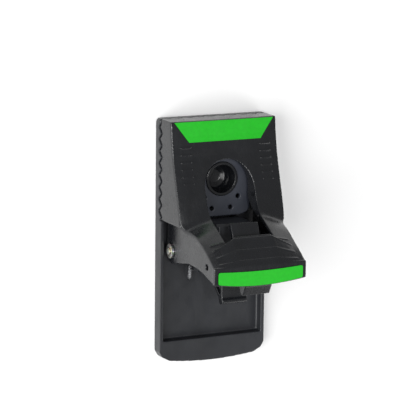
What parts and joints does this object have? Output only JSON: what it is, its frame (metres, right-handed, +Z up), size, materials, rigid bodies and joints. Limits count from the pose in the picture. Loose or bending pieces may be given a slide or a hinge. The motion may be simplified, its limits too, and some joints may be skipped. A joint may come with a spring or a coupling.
{
  "type": "snap mouse trap",
  "caption": "Press-to-set plastic snap trap: a sprung toothed jaw with a raised setting lever closes onto a toothed base over a hinged bait pedal and its trip latch.",
  "frame": {"origin": "middle of the bounding box's underside, on the surface that the trap stands on", "axes": "+Y points to the toothed mouth, -Y to the setting lever's end, +X across the trap, +Z up"},
  "size_m": [0.0716, 0.1524, 0.0721],
  "materials": {
    "jaw_black_plastic": "semi-gloss moulded black polystyrene",
    "base_black_plastic": "semi-gloss moulded black polystyrene",
    "pedal_grey_plastic": "satin blue-grey moulding",
    "cup_black_plastic": "polished black moulding",
    "label_green": "blank green vinyl film",
    "spring_steel": "drawn spring wire",
    "zinc_plate": "zinc-plated steel",
    "natural_nylon": "natural nylon"
  },
  "bodies": {
    "base": {"base_tray": "base_black_plastic", "main_axle": "zinc_plate", "pedal_pin": "zinc_plate", "latch_pin": "zinc_plate", "push_nut_left": "zinc_plate", "push_nut_right": "zinc_plate", "spring_bush_left": "natural_nylon", "spring_bush_right": "natural_nylon", "main_spring_left": "spring_steel", "main_spring_right": "spring_steel", "latch_spring": "spring_steel"},
    "jaw": {"jaw_lever": "jaw_black_plastic", "catch_bar": "jaw_black_plastic", "jaw_label": "label_green", "lever_label": "label_green", "spring_arm_left": "spring_steel", "spring_arm_right": "spring_steel"},
    "pedal": {"trigger_pedal": "pedal_grey_plastic", "bait_cup": "cup_black_plastic"},
    "latch": {"trip_latch": "jaw_black_plastic"}
  },
  "joints": [
    {"name": "jaw_hinge", "type": "hinge", "parent": "base", "child": "jaw", "pos_m": [0, -0.004, 0.012], "axis": [1, 0, 0], "range_deg": [0, 80], "stiffness_Nm_per_rad": 0.8, "springref_deg": -45.84},
    {"name": "pedal_hinge", "type": "hinge", "parent": "base", "child": "pedal", "pos_m": [0, 0.06, 0.015], "axis": [1, 0, 0], "range_deg": [0, 4.5], "stiffness_Nm_per_rad": 0.05, "springref_deg": -3.44},
    {"name": "latch_hinge", "type": "hinge", "parent": "base", "child": "latch", "pos_m": [0, -0.0145, 0.009], "axis": [1, 0, 0], "range_deg": [-5.2, 0], "stiffness_Nm_per_rad": 0.05, "springref_deg": 3.44, "deforming": ["latch_spring"]}
  ],
  "couplings": [
    {"joint": "latch_hinge", "follows": "pedal_hinge", "ratio": -1.111}
  ]
}
